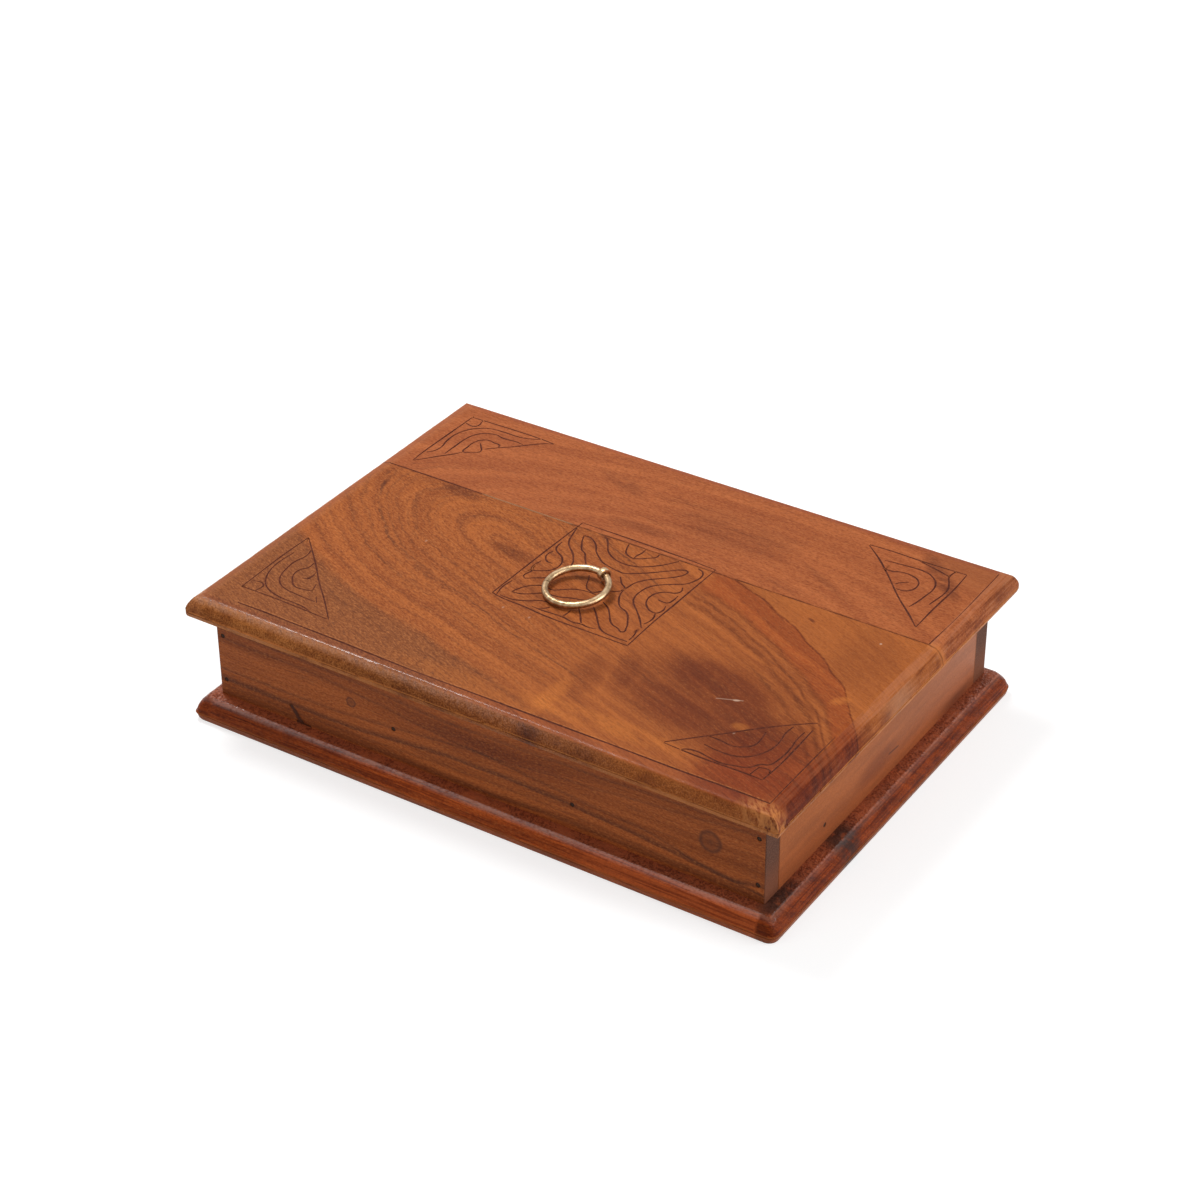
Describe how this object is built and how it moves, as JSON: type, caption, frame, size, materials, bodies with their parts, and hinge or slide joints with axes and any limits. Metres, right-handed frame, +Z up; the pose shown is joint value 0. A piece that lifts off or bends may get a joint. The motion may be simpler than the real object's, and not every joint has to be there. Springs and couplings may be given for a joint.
{
  "type": "storage box",
  "caption": "Low rectangular wooden box with a moulded base, nailed walls, inner partitions and a loose carved lid lifted by a brass ring at its centre.",
  "frame": {"origin": "middle of the base's underside", "axes": "+X to the right along the front, +Y to the back, +Z up"},
  "size_m": [0.3556, 0.256, 0.0854],
  "materials": {
    "lid_front_wood": "golden-brown figured hardwood, old satin polish, incised lines",
    "lid_rear_wood": "reddish straight-grained hardwood, old satin polish, incised lines",
    "wall_wood": "mid-brown hardwood with dark wavy figure, satin",
    "base_wood": "dark reddish hardwood, glossy polish, rough in places",
    "inner_wood": "plain sawn hardwood, dry and unpolished",
    "brass": "pale satin brass, handled bright",
    "nail_iron": "dark rusted wire nail"
  },
  "bodies": {
    "case": {"base_front_plank": "base_wood", "base_rear_plank": "base_wood", "front_wall": "wall_wood", "back_wall": "wall_wood", "left_wall": "wall_wood", "right_wall": "wall_wood", "divider_left": "inner_wood", "divider_right": "inner_wood", "small_partition": "inner_wood", "corner_nails": "nail_iron", "divider_nails": "nail_iron", "partition_nail": "nail_iron", "base_nails": "nail_iron"},
    "lid": {"lid_front_plank": "lid_front_wood", "lid_rear_plank": "lid_rear_wood", "lid_batten_left": "inner_wood", "lid_batten_right": "inner_wood", "batten_nails": "nail_iron", "ring_staple": "brass"},
    "ring": {"pull_ring": "brass"}
  },
  "joints": [
    {"name": "lid_lift", "type": "slide", "parent": "case", "child": "lid", "axis": [0, 0, 1], "range_m": [0, 0.12]},
    {"name": "ring_swing", "type": "hinge", "parent": "lid", "child": "ring", "pos_m": [0, 0, 0.0816], "axis": [-0.8949, 0.4462, 0], "range_deg": [0, 168.59]}
  ]
}
